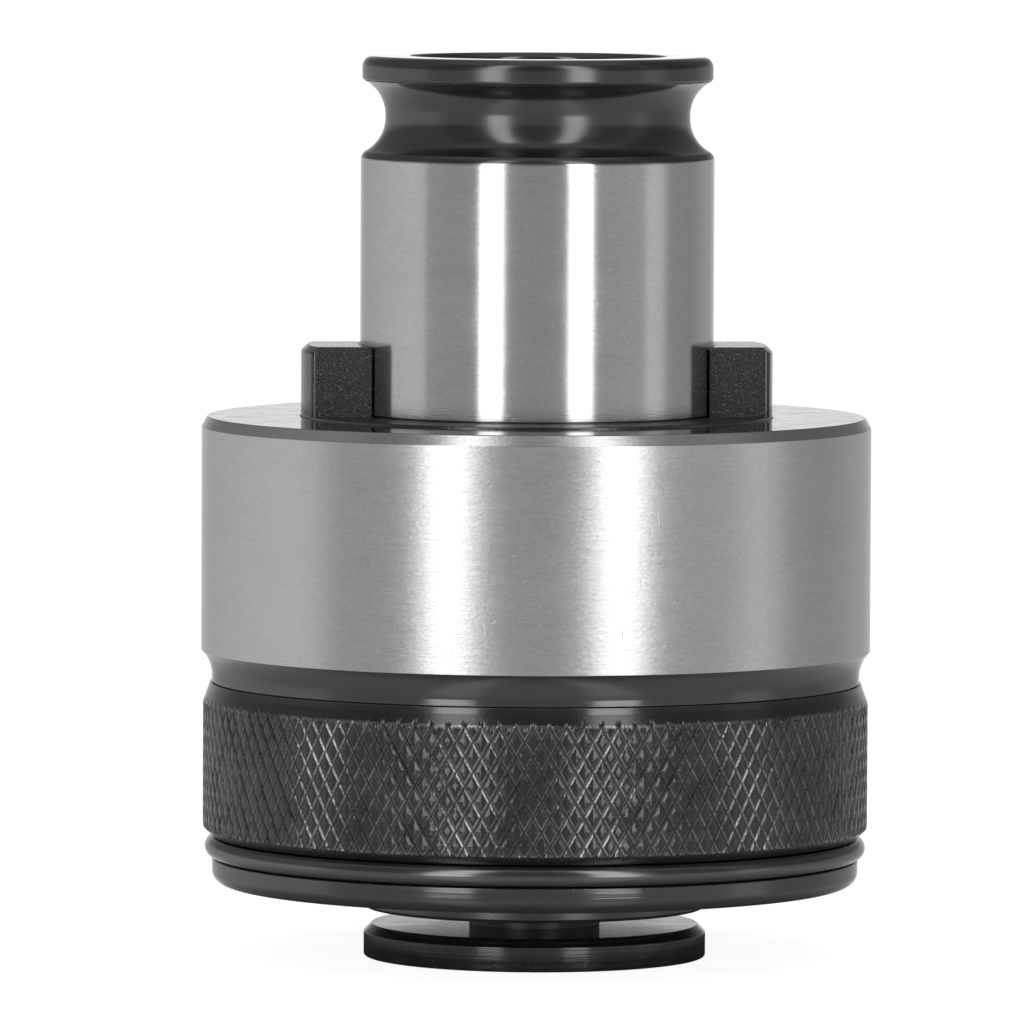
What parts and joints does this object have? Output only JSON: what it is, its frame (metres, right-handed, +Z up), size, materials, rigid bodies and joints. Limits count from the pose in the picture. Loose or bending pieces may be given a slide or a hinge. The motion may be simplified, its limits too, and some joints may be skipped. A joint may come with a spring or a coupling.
{
  "type": "tapping head",
  "caption": "Quick-change tapping head with a ground hollow shank, drive dogs, a knurled clutch adjusting nut, a wire lock ring and a sprung release ring that frees the tap.",
  "frame": {"origin": "centre of the release ring's lower face, on the axis", "axes": "+Z up along the axis from the release ring to the open end of the shank, +X through a drive dog, -Y towards the viewer of the picture"},
  "size_m": [0.0568, 0.0568, 0.0765],
  "materials": {
    "ground_steel": "satin",
    "cast_steel": "satin",
    "black_oxide": "satin",
    "bronze": "satin",
    "bearing_steel": "polished",
    "machined_steel": "satin",
    "spring_steel": "satin"
  },
  "bodies": {
    "housing": {"clutch_housing": "ground_steel", "drive_dog_ring": "cast_steel", "dog_ring_dowels": "bearing_steel", "shank_bush": "bronze", "thrust_race": "bearing_steel", "thrust_cage": "bronze", "thrust_balls": "bearing_steel", "ball_carrier": "machined_steel", "carrier_keys": "bearing_steel", "carrier_snap_ring": "spring_steel"},
    "pressure_set": {"drive_balls": "bearing_steel", "pressure_ring": "machined_steel"},
    "spring_seat": {"seat_washer": "machined_steel", "disc_spring_1": "spring_steel", "disc_spring_2": "spring_steel", "disc_spring_3": "spring_steel", "disc_spring_4": "spring_steel"},
    "nut": {"adjusting_nut": "black_oxide", "lock_ring": "black_oxide"},
    "spindle": {"clutch_spindle": "machined_steel", "tap_bush": "machined_steel", "bush_pin": "bearing_steel", "spindle_collar": "black_oxide", "journal_washer": "machined_steel", "journal_circlip": "spring_steel", "release_spring": "spring_steel"},
    "release": {"release_sleeve": "black_oxide", "release_ring": "black_oxide"},
    "ball_1": {"lock_ball_1": "bearing_steel"},
    "ball_2": {"lock_ball_2": "bearing_steel"},
    "ball_3": {"lock_ball_3": "bearing_steel"}
  },
  "joints": [
    {"name": "clutch_slip", "type": "hinge", "parent": "housing", "child": "spindle", "pos_m": [0, 0, 0.03], "axis": [0, 0, 1], "continuous": true},
    {"name": "clutch_lift", "type": "slide", "parent": "housing", "child": "pressure_set", "axis": [0, 0, -1], "range_m": [0, 0.0013], "stiffness_N_per_m": 2000, "springref_m": -0.004, "deforming": ["disc_spring_1", "disc_spring_2", "disc_spring_3", "disc_spring_4"]},
    {"name": "seat_travel", "type": "slide", "parent": "housing", "child": "spring_seat", "axis": [0, 0, 1], "range_m": [-0.0005, 0]},
    {"name": "nut_turn", "type": "hinge", "parent": "spring_seat", "child": "nut", "pos_m": [0, 0, 0.015], "axis": [0, 0, 1], "range_deg": [-180, 0]},
    {"name": "release_push", "type": "slide", "parent": "spindle", "child": "release", "axis": [0, 0, 1], "range_m": [0, 0.0012], "stiffness_N_per_m": 3000, "springref_m": -0.0034, "deforming": ["release_spring"]},
    {"name": "lock_ball_slide_1", "type": "slide", "parent": "spindle", "child": "ball_1", "axis": [0, 1, 0], "range_m": [0, 0.00048]},
    {"name": "lock_ball_slide_2", "type": "slide", "parent": "spindle", "child": "ball_2", "axis": [-0.866, -0.5, 0], "range_m": [0, 0.00048]},
    {"name": "lock_ball_slide_3", "type": "slide", "parent": "spindle", "child": "ball_3", "axis": [0.866, -0.5, 0], "range_m": [0, 0.00048]}
  ],
  "couplings": [
    {"joint": "seat_travel", "follows": "nut_turn", "m_per_rad": 0.00015915},
    {"joint": "lock_ball_slide_1", "follows": "release_push", "ratio": 0.4},
    {"joint": "lock_ball_slide_2", "follows": "release_push", "ratio": 0.4},
    {"joint": "lock_ball_slide_3", "follows": "release_push", "ratio": 0.4}
  ]
}
